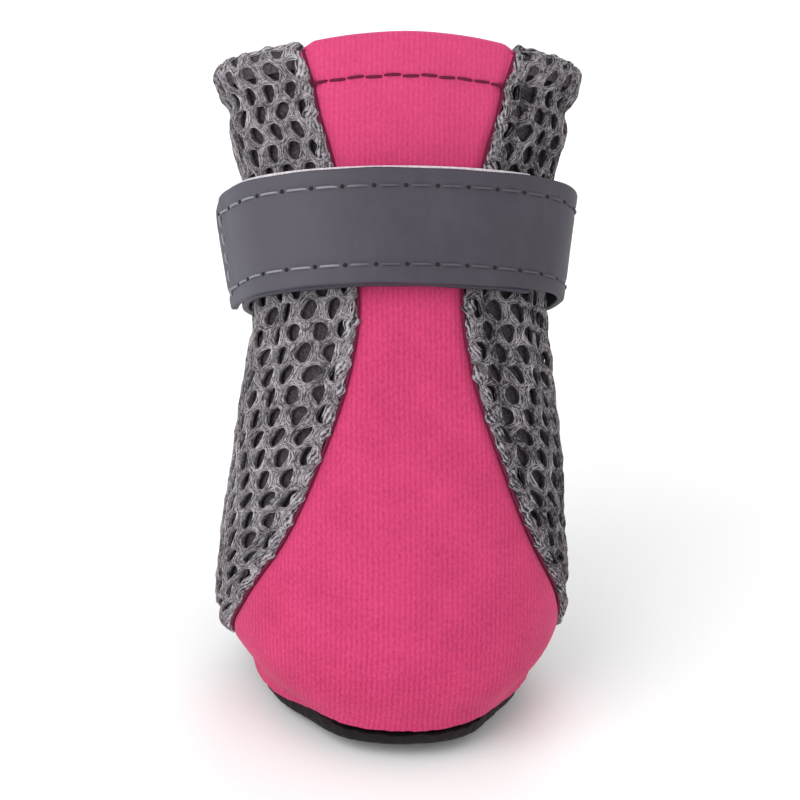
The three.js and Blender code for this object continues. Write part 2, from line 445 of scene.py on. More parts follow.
class Finish:
    def __init__(self, name):
        self.material = bpy.data.materials.new(name)
        self.material.use_nodes = True
        self.tree = self.material.node_tree
        self.tree.nodes.clear()
        self.output = self.tree.nodes.new("ShaderNodeOutputMaterial")

    # One node: its settings first, then the values or links of its sockets
    def node(self, kind, settings=None, **sockets):
        made = self.tree.nodes.new("ShaderNode" + kind)
        for name, value in (settings or {}).items():
            setattr(made, name, value)
        for name, value in sockets.items():
            self.feed(made.inputs[name.replace("_", " ")], value)
        return made

    def feed(self, socket, value):
        if isinstance(value, Wire):
            self.tree.links.new(value.socket, socket)
        else:
            socket.default_value = value

    def maths(self, operation, *values):
        made = self.tree.nodes.new("ShaderNodeMath")
        made.operation = operation
        for socket, value in zip(made.inputs, values):
            self.feed(socket, value)
        return Wire(self, made.outputs[0])

    def sine(self, value):
        return self.maths("SINE", value)

    def limit(self, value, low, high):
        made = self.node("MapRange", {"interpolation_type": "SMOOTHSTEP"}, Value=value, From_Min=low, From_Max=high)
        return Wire(self, made.outputs[0])

    def noise(self, place, scale, detail=3.0, roughness=0.55):
        made = self.node("TexNoise", Vector=place, Scale=scale, Detail=detail, Roughness=roughness)
        return Wire(self, made.outputs["Fac"])

    def cells(self, place, scale, feature="F1", output="Distance"):
        made = self.node("TexVoronoi", {"feature": feature}, Vector=place, Scale=scale)
        return Wire(self, made.outputs[output])

    def place(self):
        return Wire(self, self.node("TexCoord").outputs["Object"])

    def cloth(self):
        return Wire(self, self.node("TexCoord").outputs["UV"])

    def parts(self, vector):
        made = self.node("SeparateXYZ", Vector=vector)
        return Wire(self, made.outputs[0]), Wire(self, made.outputs[1])

    def stretch(self, vector, scale, turned=0.0):
        made = self.node("Mapping", Vector=vector, Scale=scale, Rotation=(0, 0, turned))
        return Wire(self, made.outputs[0])

    def blend(self, share, first, second):
        made = self.node("Mix", {"data_type": "RGBA"})
        self.feed(made.inputs[0], share)
        self.feed(made.inputs[6], first)
        self.feed(made.inputs[7], second)
        return Wire(self, made.outputs[2])

    def bump(self, height, distance, strength=1.0, under=None):
        made = self.node("Bump", Height=height, Distance=distance * mm, Strength=strength)
        if under is not None:
            self.feed(made.inputs["Normal"], under)
        return Wire(self, made.outputs[0])

    def shade(self, color, roughness, normal=None, **constants):
        shader = self.tree.nodes.new("ShaderNodeBsdfPrincipled")
        self.feed(shader.inputs["Base Color"], color)
        self.feed(shader.inputs["Roughness"], roughness)
        if normal is not None:
            self.feed(shader.inputs["Normal"], normal)
        for name, value in constants.items():
            shader.inputs[name.replace("_", " ")].default_value = value
        self.tree.links.new(shader.outputs[0], self.output.inputs[0])
        return self.material


# A colour as a screen shows it, from 0 to 255, made linear
def tint(red, green, blue):
    values = [v / 255 for v in (red, green, blue)]
    return tuple(v / 12.92 if v <= 0.04045 else ((v + 0.055) / 1.055) ** 2.4 for v in values) + (1.0,)


knit = {"ribPitch": 0.80, "paintedLightBall": 0.08, "paintedLightCollar": 0.26, "paintedLightTint": (228, 84, 136), "light": (216, 68, 118), "deep": (159, 34, 79), "bump": 0.06}


def knitFinish():
    f = Finish("rib_knit")
    across, along = f.parts(f.cloth())
    wander = f.noise(f.cloth(), 0.35, 2.0)
    rib = f.sine(across * (2 * math.pi / knit["ribPitch"]) + wander * 3.0) * 0.5 + 0.5
    fibre = f.noise(f.stretch(f.cloth(), (1.35, 0.75, 1), 0.12), 1.9, 3.0, 0.72)
    cloud = f.noise(f.cloth(), 0.12, 4.0, 0.6)
    shade = rib * 0.13 + fibre * 0.72 + cloud * 0.34 + 0.06
    # Painted light: the knit is blended towards a lighter pink over the ball, and more so towards the collar, for the
    # light that falls there.
    paintedLightShare = f.limit(along, -78, -38) * knit["paintedLightBall"] + f.limit(along, -10, 45) * knit["paintedLightCollar"]
    color = f.blend(f.limit(shade, 0.30, 1.02), tint(*knit["deep"]), tint(*knit["light"]))
    color = f.blend(paintedLightShare, color, tint(*knit["paintedLightTint"]))
    height = rib * 0.22 + fibre * 1.1
    normal = f.bump(height, knit["bump"])
    return f.shade(color, 0.86 - fibre * 0.1, normal, Sheen_Weight=0.05, Sheen_Roughness=0.5,
                   Specular_IOR_Level=0.22)


yarn = {
    "dark": (42, 34, 40), "light": (186, 179, 186), "dim": 0.13, "dimFrom": -4, "dimTo": 20, "dimLow": 0.12,
    "bump": 0.16,
}


# How much darker the yarn is towards the far side from the light, and low on that side
def dimShare(f):
    across, along = f.parts(f.place())
    side = f.limit(across, yarn["dimFrom"] * mm, yarn["dimTo"] * mm)
    low = f.limit(along, 8 * mm, -14 * mm)
    return side * (low * yarn["dimLow"] + yarn["dim"])


def yarnFinish():
    f = Finish("mesh_yarn")
    around, across = f.parts(f.cloth())
    place = f.place()
    fray = f.noise(place, 1500, 4.0, 0.75)
    coarse = f.noise(place, 420, 3.0, 0.6)
    ply = f.sine(across * 15 + coarse * 9 + f.sine(around * 6) * 0.8) * 0.5 + 0.5
    # Painted shade: the yarn darkens to a fifth of its tone where it slopes down into each hole.
    paintedLipShade = f.limit(across, 0.0, 0.30)
    strands = f.limit(ply * 0.26 + fray * 1.50, 0.68, 1.08)
    shade = (strands * 0.75 + coarse * 0.25) * (paintedLipShade * 0.8 + 0.2)
    color = f.blend(shade - dimShare(f), tint(*yarn["dark"]), tint(*yarn["light"]))
    normal = f.bump(ply * 0.5 + fray * 0.8, yarn["bump"])
    return f.shade(color, 0.85, normal, Sheen_Weight=0.15, Sheen_Roughness=0.5, Specular_IOR_Level=0.2)


def fibreFinish(name, dark, light, low, high):
    f = Finish(name)
    place = f.place()
    speck = f.noise(place, 1300, 3.0, 0.7)
    patch = f.noise(place, 260, 2.0, 0.5)
    shade = f.limit(speck * 0.7 + patch * 0.5, low, high) - dimShare(f)
    color = f.blend(shade, tint(*dark), tint(*light))
    return f.shade(color, 0.8, f.bump(speck, 0.05), Specular_IOR_Level=0.25)


def borderFinish():
    f = Finish("border_yarn")
    along, around = f.parts(f.cloth())
    place = f.place()
    fray = f.noise(place, 1100, 4.0, 0.75)
    coarse = f.noise(place, 340, 3.0, 0.6)
    ply = f.sine(around * 8 + along * 3.1 + coarse * 14) * 0.5 + 0.5
    shade = f.limit(ply * 0.28 + fray * 1.25 + coarse * 0.3, 0.68, 1.15)
    color = f.blend(shade - dimShare(f), tint(42, 38, 44), tint(184, 178, 184))
    return f.shade(color, 0.85, f.bump(ply * 0.5 + fray, 0.22), Specular_IOR_Level=0.2)


def weaveFinish(name, dark, light, pitch, depth, roughness=0.85):
    f = Finish(name)
    place = f.place()
    grain = f.noise(place, 1.0 / (pitch * mm) * 0.5, 3.0, 0.65)
    cell = f.cells(place, 1.0 / (pitch * mm))
    shade = grain * 0.6 + cell * 0.6
    color = f.blend(f.limit(shade, 0.3, 0.9), tint(*dark), tint(*light))
    return f.shade(color, roughness, f.bump(shade, depth))


band = {
    "dark": (62, 58, 68), "light": (74, 70, 80), "paintedHighlight": (79, 76, 87), "paintedHighlightFrom": -6, "paintedHighlightTo": -26,
    "bead": 0.16, "bump": 0.02,
}


def bandFinish():
    f = Finish("reflective_band")
    place = f.place()
    bead = f.cells(place, 1 / (band["bead"] * mm))
    blotch = f.noise(place, 110, 3.0, 0.6)
    brush = f.noise(f.stretch(place, (1, 1, 0.25)), 700, 2.0, 0.5)
    shade = blotch * 0.5 + brush * 0.25 + bead * 0.12
    tone = f.blend(f.limit(shade, 0.32, 0.72), tint(*band["dark"]), tint(*band["light"]))
    # Painted highlight: the band is paler towards its left end (x below -6 mm), for the sheen of the light from that
    # side.
    side = f.limit(f.parts(place)[0], band["paintedHighlightFrom"] * mm, band["paintedHighlightTo"] * mm)
    color = f.blend(side, tone, tint(*band["paintedHighlight"]))
    normal = f.bump(bead * 0.5 + blotch * 0.8, band["bump"])
    return f.shade(color, 0.50 + blotch * 0.14, normal, Specular_IOR_Level=0.35)


def threadFinish(name, dark, light, paintedHighlight=None, pitch=0.5):
    f = Finish(name)
    along, around = f.parts(f.cloth())
    ply = f.sine(along * (2 * math.pi / pitch) + around * 6.3) * 0.5 + 0.5
    fuzz = f.noise(f.place(), 1800, 3.0, 0.6)
    color = f.blend(f.limit(ply * 0.6 + fuzz * 0.6, 0.3, 0.9), tint(*dark), tint(*light))
    # Painted highlight: the thread is paler towards the left (negative x), where it catches the light.
    if paintedHighlight:
        side = f.limit(f.parts(f.place())[0], -5 * mm, -14 * mm)
        color = f.blend(side, color, tint(*paintedHighlight))
    return f.shade(color, 0.7, f.bump(ply + fuzz * 0.5, 0.06), Specular_IOR_Level=0.3)


def rubberFinish():
    f = Finish("sole_rubber")
    place = f.place()
    grain = f.noise(place, 1500, 3.0, 0.6)
    pebble = f.cells(place, 900)
    dust = f.noise(place, 90, 4.0, 0.6)
    color = f.blend(f.limit(dust * 0.7 + grain * 0.5, 0.45, 0.85), tint(14, 9, 13), tint(34, 25, 31))
    return f.shade(color, 0.66 + dust * 0.2, f.bump(pebble + grain * 0.7, 0.22), Specular_IOR_Level=0.25)


print("finishes")
knitPink = knitFinish()
meshYarn = yarnFinish()
fibreGrey = fibreFinish("mesh_fibre", (56, 48, 54), (200, 194, 200), 0.42, 0.80)
borderYarn = borderFinish()
innerWeave = weaveFinish("mesh_inner", (38, 31, 36), (76, 67, 73), 0.45, 0.08)
liningCloth = weaveFinish("lining_cloth", (48, 45, 50), (84, 80, 86), 0.40, 0.05)
foamCloth = weaveFinish("insole_cloth", (52, 49, 54), (82, 78, 84), 0.50, 0.05)
bandGrey = bandFinish()
# the band thread's third colour is a painted highlight on its left side
bandThread = threadFinish("band_thread", (78, 74, 84), (104, 100, 110), (150, 147, 156))
hemThread = threadFinish("hem_thread", (78, 10, 40), (124, 24, 66))
# painted shade for the needle holes
needleShadeFinish = weaveFinish("needle_hole_painted_shade", (10, 9, 12), (20, 18, 23), 0.2, 0.01)
hookPale = weaveFinish("hook_cloth", (196, 186, 195), (232, 224, 230), 0.35, 0.06)
loopPile = weaveFinish("loop_pile", (44, 42, 48), (96, 93, 100), 0.30, 0.12)
rubberBlack = rubberFinish()


# Knit front: an hourglass of rib knit from the toe to the collar, its top edge turned in as a hem
panel = {
    "across": 96, "perLevel": 15, "turnIn": 9.0, "thick": 1.1,
    "edgeDrop": 0.75, "edgeWidth": 2.2, "tuck": 0.65, "raise": 0.16, "sideSag": 1.3,
}


def panelHalf(level):
    return lastSection(level)[..., column["panelHalf"]]


def frontHeight(level):
    return np.interp(level, levelSteps, heightTable[-1])


def panelPlace(share, climb, lift):
    level = np.minimum(climb, rimLevel)
    over = np.maximum(climb - rimLevel, 0) * 10
    half = panelHalf(level)
    arc = share * (half + panel["tuck"])
    turn = np.sign(arc) * np.abs(turnFor(level, halfGirth(level) - np.abs(arc)))
    nearSole = 1 - smooth(level, 0, 0.35)
    level = level + (panel["raise"] + 0.04 * wanderOf(arc * 1.9, arc * 0.7, 2.2)) * nearSole
    level = np.maximum(level, 0)
    fromEdge = half - np.abs(arc)
    drop = -panel["edgeDrop"] * smooth(-fromEdge, -panel["edgeWidth"], 0.3)
    place = layOnLast(level, turn, over, lift + drop, np.zeros_like(level))
    place[:, 2] -= panel["sideSag"] * mm * smooth(np.abs(arc), 14, 25) * nearSole
    return place, np.stack([arc, frontHeight(level) + over], -1)


def makeFrontPanel():
    climbTo = rimLevel + panel["turnIn"] / 10
    piece = cutGrid("front_panel", (-1, 0), (1, climbTo), panel["across"], round(panel["perLevel"] * climbTo))
    flat = readPoints(piece)
    points, uv = panelPlace(flat[:, 0], flat[:, 1], flat[:, 2])
    storeUv(piece, uv)
    flat, area = flatCut(piece)
    writePoints(piece, points)
    modify(piece, "SOLIDIFY", thickness=panel["thick"] * mm, offset=-1, use_even_offset=True)
    return finishPiece(piece, knitPink, "upper_cloth", "upper")


print("knit front")
frontPanel = makeFrontPanel()


# Mesh sides and back in one piece: a hexagon cell with an oval hole is arrayed flat and laid on the last.
# Its columns run beside the knit's edge, where the net folds under itself and makes a puffy border.
net = {
    "pitch": 4.3, "row": 3.55, "holeWide": 1.17, "holeHigh": 1.58, "corners": 18, "across": 28, "pairs": 21,
    "waist": 13, "halfWide": 58.0, "leastHalf": 50.0, "thick": 0.7, "lift": 0.0,
    "fold": 0.62, "borderWide": 3.5, "borderLift": 0.55, "crease": 1.7, "scallop": 0.34, "turnIn": 3.6,
    "wander": 0.24, "ripple": 0.18, "fibreRadius": 0.08,
}


def edgeArc(level):
    return halfGirth(level) - panelHalf(level)


def hexagonPoint(angle):
    # the cell's outline: the nearest of the three pairs of walls
    pitch, row = net["pitch"], net["row"]
    sides = [(pitch, 0.0), (pitch / 2, row), (pitch / 2, -row)]
    reach = 1e9
    for x, y in sides:
        facing = abs(x * math.cos(angle) + y * math.sin(angle))
        if facing > 1e-9:
            reach = min(reach, (x * x + y * y) / 2 / facing)
    return reach * math.cos(angle), reach * math.sin(angle)


def hexagonAngles():
    pitch, row = net["pitch"], net["row"]
    tall, short = row / 2 + pitch**2 / (8 * row), row / 2 - pitch**2 / (8 * row)
    corners = [(0, tall), (-pitch / 2, short), (-pitch / 2, -short), (0, -tall), (pitch / 2, -short), (pitch / 2, short)]
    angles = []
    for (x, y), (nextX, nextY) in zip(corners, corners[1:] + corners[:1]):
        for share in (0, 1 / 3, 2 / 3):
            angles.append(math.atan2(y + (nextY - y) * share, x + (nextX - x) * share))
    return angles


# One cell: the hole's edge, two rings of rounded yarn and the hexagon wall that it shares with the next cell
def makeCell():
    deselectAll()
    bpy.ops.mesh.primitive_circle_add(vertices=net["corners"], radius=1, fill_type="NOTHING")
    piece = added("mesh_net")
    rings = 3
    bpy.ops.object.mode_set(mode="EDIT")
    bpy.ops.mesh.select_all(action="SELECT")
    for _ in range(rings):
        bpy.ops.mesh.extrude_edges_move(TRANSFORM_OT_translate={"value": (0, 0, 1)})
    bpy.ops.object.mode_set(mode="OBJECT")
    points = readPoints(piece)
    angles = hexagonAngles()
    ring = np.round(points[:, 2]).astype(int)
    uv = np.zeros((len(points), 2))
    for k in range(rings + 1):
        rows = np.flatnonzero(ring == k)
        turns = np.arctan2(points[rows, 1], points[rows, 0]) % (2 * math.pi)
        for order, row in enumerate(rows[np.argsort(turns)]):
            angle = sorted(a % (2 * math.pi) for a in angles)[order]
            hole = Vector((net["holeWide"] * math.cos(angle), net["holeHigh"] * math.sin(angle)))
            wall = Vector(hexagonPoint(angle))
            share = (0, 0.16, 0.58, 1)[k]
            spot = hole.lerp(wall, share)
            points[row] = (spot.x, spot.y, (-0.50, -0.06, 0.16, 0.04)[k])
            uv[row] = (angle, share)
    writePoints(piece, points)
    storeUv(piece, uv)
    # laying it on from the back turns it over, so it starts face down
    if piece.data.polygons[0].normal.z > 0:
        flipFaces(piece)
    return piece


def arrayFlat(piece, count, x, y):
    modify(piece, "ARRAY", count=count, use_relative_offset=False, use_constant_offset=True,
           constant_offset_displace=(x, y, 0), use_merge_vertices=True, merge_threshold=0.02)


# A furrow beside the folded border, deeper in some places than in others
def creaseDepth(fromEdge, height, side):
    share = 0.55 + 0.45 * np.sin(height * 0.23 + side * 1.1)
    return net["crease"] * share * bell(fromEdge, net["borderWide"] * 1.15, 0.8)


def netPlace(arc, height, lift):
    arc = arc + net["wander"] * wanderOf(arc, height, 0.4)
    height = height + net["wander"] * wanderOf(arc, height, 2.9)
    rimHeight = edgeHeight(arc, rimLevel)
    over = np.maximum(height - rimHeight, 0)
    level = levelFor(arc, np.minimum(height, rimHeight))
    edge = edgeArc(level) + net["scallop"] * np.sin(math.pi * height / net["row"]) * np.sin(height * 0.31)
    scale = np.maximum(edge, net["leastHalf"]) / net["halfWide"]
    past = np.abs(arc) * scale - edge
    # past the edge the cloth turns round a small radius and runs back underneath
    radius = net["fold"]
    angle = np.clip(past / radius, 0, math.pi)
    under = np.maximum(past - math.pi * radius, 0)
    flatSize = np.abs(arc) * scale * (edge - radius) / edge
    size = np.where(past < 0, flatSize, edge + radius * (np.sin(angle) - 1) - under)
    folded = radius * (np.cos(angle) - 1)
    turn = turnFor(level, np.where(arc < 0, -size, size))
    fromEdge = edge - size
    belowRim = 1 - smooth(level, 9.0, 9.8)
    border = net["borderLift"] * belowRim * (1 - smooth(fromEdge, net["borderWide"] * 0.6, net["borderWide"] * 1.3))
    crease = creaseDepth(fromEdge, height, np.sign(arc)) * belowRim
    sink = 1.0 * smooth(-level, -0.16, 0.0)
    meshShare = smooth(fromEdge, 0, 6)
    thicker = np.where(past < 0, lift, lift * np.cos(angle))
    raised = net["lift"] + folded + thicker + border - crease - sink + net["ripple"] * wanderOf(arc, height, 5.1)
    return layOnLast(level, turn, over, raised, meshShare)


def dropFaces(piece, unwanted):
    pick(piece)
    bpy.ops.object.mode_set(mode="EDIT")
    bpy.ops.mesh.select_mode(type="FACE")
    bpy.ops.mesh.select_all(action="DESELECT")
    bpy.ops.object.mode_set(mode="OBJECT")
    marked = np.asarray(unwanted)
    for face in piece.data.polygons:
        face.select = bool(marked[list(face.vertices)].all())
    bpy.ops.object.mode_set(mode="EDIT")
    bpy.ops.mesh.delete(type="FACE")
    bpy.ops.object.mode_set(mode="OBJECT")


# True where the net lies more than a little under its own folded edge
def tuckedAway(flat):
    edge = edgeArc(levelFor(flat[:, 0], flat[:, 1]))
    scale = np.maximum(edge, net["leastHalf"]) / net["halfWide"]
    return np.abs(flat[:, 0]) * scale - edge > math.pi * net["fold"] + 0.5


def makeNet():
    piece = makeCell()
    # a second cell half a pitch along makes the pair of rows that repeats
    pick(piece)
    bpy.ops.object.duplicate()
    second = bpy.context.object
    writePoints(second, readPoints(second) + (net["pitch"] / 2, net["row"], 0))
    piece.select_set(True)
    bpy.context.view_layer.objects.active = piece
    bpy.ops.object.join()
    weld(piece, 0.02)
    arrayFlat(piece, net["across"] + 1, net["pitch"], 0)
    arrayFlat(piece, net["pairs"], 0, 2 * net["row"])
    flat = readPoints(piece)
    flat[:, 0] -= (net["across"] + 0.5) / 2 * net["pitch"]
    flat[:, 1] -= net["waist"] * 2 * net["row"]
    writePoints(piece, flat)
    low, high = edgeHeight(flat[:, 0], 0), edgeHeight(flat[:, 0], rimLevel)
    dropFaces(piece, (flat[:, 1] < low) | (flat[:, 1] > high + net["turnIn"]) | tuckedAway(flat))
    flat = readPoints(piece)
    flat[:, 1] = np.maximum(flat[:, 1], edgeHeight(flat[:, 0], 0))
    writePoints(piece, netPlace(flat[:, 0], flat[:, 1], flat[:, 2]))
    weld(piece, 0.00002)
    modify(piece, "SOLIDIFY", thickness=net["thick"] * mm, offset=-1)
    return finishPiece(piece, meshYarn, "upper_cloth", angle=70)


print("mesh net")
meshNet = makeNet()


# Loose filaments: thin loops round every hole, laid just over the net
def makeFibres():
    loops = []
    for wide, high, wobble, lift in ((1.33, 1.73, 0.11, 0.04), (1.62, 2.00, 0.11, 0.18), (1.95, 2.28, 0.09, 0.24)):
        deselectAll()
        bpy.ops.mesh.primitive_torus_add(
            major_segments=13, minor_segments=3, major_radius=1, minor_radius=0.1, generate_uvs=False)
        loop = added("loop")
        points = readPoints(loop)
        angle = np.arctan2(points[:, 1], points[:, 0])
        out = np.hypot(points[:, 0], points[:, 1]) - 1
        bent = 1 + wobble * np.sin(3 * angle + wide * 5)
        radius = net["fibreRadius"] / 0.1
        x = (wide * bent + out * radius) * np.cos(angle)
        y = (high * bent + out * radius) * np.sin(angle)
        z = points[:, 2] * radius + lift + 0.05 * np.sin(2 * angle + high)
        writePoints(loop, np.stack([x, y, z], -1))
        storeUv(loop, np.stack([angle, out], -1))
        loops.append(loop)
    piece = joinPieces(loops, "mesh_fibres")
    pick(piece)
    bpy.ops.object.duplicate()
    second = bpy.context.object
    writePoints(second, readPoints(second) + (net["pitch"] / 2, net["row"], 0))
    piece = joinPieces([piece, second], "mesh_fibres")
    modify(piece, "ARRAY", count=net["across"] + 1, use_relative_offset=False, use_constant_offset=True,
           constant_offset_displace=(net["pitch"], 0, 0))
    modify(piece, "ARRAY", count=net["pairs"], use_relative_offset=False, use_constant_offset=True,
           constant_offset_displace=(0, 2 * net["row"], 0))
    flat = readPoints(piece)
    flat[:, 0] -= (net["across"] + 0.5) / 2 * net["pitch"]
    flat[:, 1] -= net["waist"] * 2 * net["row"]
    writePoints(piece, flat)
    low, high = edgeHeight(flat[:, 0], 0), edgeHeight(flat[:, 0], rimLevel)
    hidden = (flat[:, 1] < low) | (flat[:, 1] > high + 1.5) | (np.abs(flat[:, 0]) > net["halfWide"] + 1.5)
    dropFaces(piece, hidden)
    flat = readPoints(piece)
    shake = 0.16 * wanderOf(flat[:, 0] * 2.7, flat[:, 1] * 2.3, 1.7)
    shakeUp = 0.16 * wanderOf(flat[:, 0] * 2.1, flat[:, 1] * 3.1, 4.2)
    writePoints(piece, netPlace(flat[:, 0] + shake, np.maximum(flat[:, 1] + shakeUp, low.min()), flat[:, 2]))
    flipFaces(piece)
    return finishPiece(piece, fibreGrey, "upper_cloth", angle=80)


meshFibres = makeFibres()

# The folded edge beside the knit, packed with yarn: a puffy, uneven roll on each side
border = {"wide": 0.95, "high": 0.62, "back": 0.88, "sunk": 0.35, "steps": 300, "sides": 12}


def makeBorder(name, side):
    piece = cutGrid(name, (0, 0), (1, rimLevel), border["sides"], border["steps"])
    flat = readPoints(piece)
    level, angle = flat[:, 1], flat[:, 0] * 2 * math.pi
    height = frontHeight(level)
    puff = 1 + 0.20 * np.sin(height * 1.75 + side) + 0.15 * np.sin(height * 2.9) + 0.10 * np.sin(height * 0.8)
    arc = panelHalf(level) + border["back"] + 0.18 * np.sin(height * 1.1 + side * 2)
    arc = arc - border["wide"] * puff * np.cos(angle)
    lift = 0.25 * (1 - smooth(level, 9.0, 9.8)) + border["high"] * puff * np.sin(angle) - border["sunk"]
    turn = side * np.abs(turnFor(level, halfGirth(level) - arc))
    writePoints(piece, layOnLast(level, turn, np.zeros(len(flat)), lift, np.zeros(len(flat))))
    storeUv(piece, np.stack([height, flat[:, 0] * 6], -1))
    weld(piece, 0.00001)
    editAll(piece, lambda: bpy.ops.mesh.fill_holes(sides=0))
    faceOut(piece)
    return finishPiece(piece, borderYarn, "upper_cloth", angle=80)


borders = [makeBorder("border_left", -1), makeBorder("border_right", 1)]

# The same packed fold round the mesh's top edge
topFold = {"wide": 0.75, "high": 0.55, "sunk": 0.25, "steps": 340, "sides": 12}


def makeTopFold():
    piece = cutGrid("border_collar", (-1, 0), (1, 1), topFold["steps"], topFold["sides"])
    flat = readPoints(piece)
    level = np.full(len(flat), rimLevel)
    arc = flat[:, 0] * (edgeArc(level) - 0.4)
    angle = flat[:, 1] * 2 * math.pi
    puff = 1 + 0.22 * np.sin(arc * 1.46) + 0.16 * np.sin(arc * 2.6 + 1) + 0.1 * np.sin(arc * 0.7)
    over = math.pi / 2 * hem["rimRadius"] - topFold["wide"] * puff * np.cos(angle)
    lift = topFold["high"] * puff * np.sin(angle) - topFold["sunk"]
    writePoints(piece, layOnLast(level, turnFor(level, arc), over, lift, np.ones(len(flat))))
    storeUv(piece, np.stack([arc, flat[:, 1] * 6], -1))
    weld(piece, 0.00001)
    editAll(piece, lambda: bpy.ops.mesh.fill_holes(sides=0))
    faceOut(piece)
    return finishPiece(piece, borderYarn, "upper_cloth", angle=80)


collarFold = makeTopFold()


# The mesh's dark inner face, seen through the holes
inner = {"across": 150, "perLevel": 13, "turnIn": 6.0, "depth": 1.15, "thick": 0.5}


def innerPlace(share, climb, lift):
    level = np.minimum(climb, rimLevel)
    over = np.maximum(climb - rimLevel, 0) * 10
    edge = halfGirth(level) - panelHalf(level) + 0.3
    turn = turnFor(level, share * edge)
    meshShare = smooth(edge * (1 - np.abs(share)), 0, 6)
    fromEdge = edge * (1 - np.abs(share))
    depth = inner["depth"] - 0.45 * (1 - smooth(fromEdge, 2.0, 3.0))
    depth = depth + 0.6 * creaseDepth(fromEdge, frontHeight(level), np.sign(share)) * (1 - smooth(level, 9.0, 9.8))
    place = layOnLast(level, turn, over, lift - depth, meshShare)
    return place, np.stack([share * edge, frontHeight(level) + over], -1)


def makeMeshInner():
    climbTo = rimLevel + inner["turnIn"] / 10
    piece = cutGrid("mesh_inner", (-1, 0.02), (1, climbTo), inner["across"], round(inner["perLevel"] * climbTo))
    flat = readPoints(piece)
    points, uv = innerPlace(flat[:, 0], flat[:, 1], flat[:, 2])
    storeUv(piece, uv)
    flat, area = flatCut(piece)
    writePoints(piece, points)
    faceOutwards(piece)
    modify(piece, "SOLIDIFY", thickness=inner["thick"] * mm, offset=-1)
    onIt = [meshNet, meshFibres, collarFold] + borders
    return finishPiece(piece, innerWeave, "upper_cloth")


# Turns an open sheet's faces away from the boot's inside
def faceOutwards(piece):
    middle = piece.data.polygons[len(piece.data.polygons) // 2]
    axis = Vector((0, 12 * mm, middle.center.z))
    if middle.normal.dot(middle.center - axis) < 0:
        flipFaces(piece)


meshInner = makeMeshInner()


# Lining: a tube of cloth inside the boot, from the turned-in hem down to the insole
lining = {"around": 128, "perLevel": 10, "depth": 2.35, "thick": 0.4, "below": 2.4}


def makeLining():
    topMost = np.interp(sideRun[-1] - lining["below"], sideRun, levelSteps)
    piece = cutGrid("lining", (0, 0.0), (1, topMost), lining["around"], round(lining["perLevel"] * topMost))
    flat = readPoints(piece)
    level, turn = flat[:, 1], flat[:, 0] * 2 * math.pi
    depth = np.full(len(flat), -lining["depth"])
    writePoints(piece, layOnLast(level, turn, np.zeros(len(flat)), depth, np.full(len(flat), 0.5)))
    storeUv(piece, np.stack([flat[:, 0] * 2 * halfGirth(level), 0.86 * frontHeight(level)], -1))
    size, area = flatCut(piece)
    weld(piece, 0.00001)
    faceOutwards(piece)
    modify(piece, "SOLIDIFY", thickness=lining["thick"] * mm, offset=-1)
    return finishPiece(piece, liningCloth, "insole_foam")


liningTube = makeLining()
print("lining")


# Outsole: the rubber dish, drawn in rings from the middle of its inside, over the rim and to the middle below
sole = {
    "around": 240, "thick": 1.6, "rimInset": 0.35, "sideInset": 0.8, "gap": 0.05, "knobbly": 0.40, "uneven": 0.16,
    "grip": 0.7, "middle": -1.7, "floorInset": 3.6,
    "spring": 1.3, "springFrom": -12, "springRun": 16, "heelLift": 0.5, "heelFrom": 16, "heelRun": 10,
}
gripBars = {"wide": 2.4, "pitch": 4.75, "each": 4, "reach": 0.7, "sunk": 0.6, "sides": 24, "bevel": 0.25}


def soleRise(y):
    toe = np.maximum(sole["springFrom"] - y, 0) / sole["springRun"]
    heel = np.maximum(y - sole["heelFrom"], 0) / sole["heelRun"]
    return sole["grip"] + sole["spring"] * toe**2 + sole["heelLift"] * heel**2


# inset, share of the way in to the middle, climb towards the rim's top, and lift over the underside
def dishPoint(turn, inset, share, climb, lift):
    place, outward, _ = lastFrame(np.zeros_like(turn), turn)
    place = place + outward * foldRelief(np.zeros_like(turn), turn)[:, None]
    away = np.degrees(np.abs(turn))
    rimInset = sole["rimInset"] + sole["sideInset"] * smooth(away, 22, 50) * (1 - smooth(away, 100, 140))
    rimInset = rimInset + sole["knobbly"] * wanderOf(place[:, 0] * 1.6, place[:, 1] * 1.6, 1.1) * climb
    top = place - outward * rimInset[:, None]
    point = place - outward * (rimInset + inset)[:, None]
    point[:, 0] *= share
    point[:, 1] = sole["middle"] + (point[:, 1] - sole["middle"]) * share
    low = soleRise(point[:, 1]) + lift
    uneven = sole["uneven"] * (wanderOf(place[:, 0] * 1.3, place[:, 1] * 1.3, 3.7) - 1)
    point[:, 2] = low + (top[:, 2] - sole["gap"] + uneven - low) * climb
    return point * mm


def makeRings(name, rings, around):
    deselectAll()
    bpy.ops.mesh.primitive_circle_add(vertices=around, radius=1, fill_type="NOTHING")
    piece = added(name)
    bpy.ops.object.mode_set(mode="EDIT")
    bpy.ops.mesh.select_all(action="SELECT")
    for _ in rings[1:]:
        bpy.ops.mesh.extrude_edges_move(TRANSFORM_OT_translate={"value": (0, 0, 1)})
    bpy.ops.object.mode_set(mode="OBJECT")
    flat = readPoints(piece)
    turn = np.arctan2(flat[:, 1], flat[:, 0])
    table = np.array(rings, float)[np.round(flat[:, 2]).astype(int)]
    writePoints(piece, dishPoint(turn, *table.T))
    pick(piece)
    bpy.ops.object.mode_set(mode="EDIT")
    bpy.ops.mesh.select_all(action="SELECT")
    bpy.ops.mesh.remove_doubles(threshold=0.000001)
    bpy.ops.mesh.normals_make_consistent(inside=False)
    bpy.ops.object.mode_set(mode="OBJECT")
    return piece


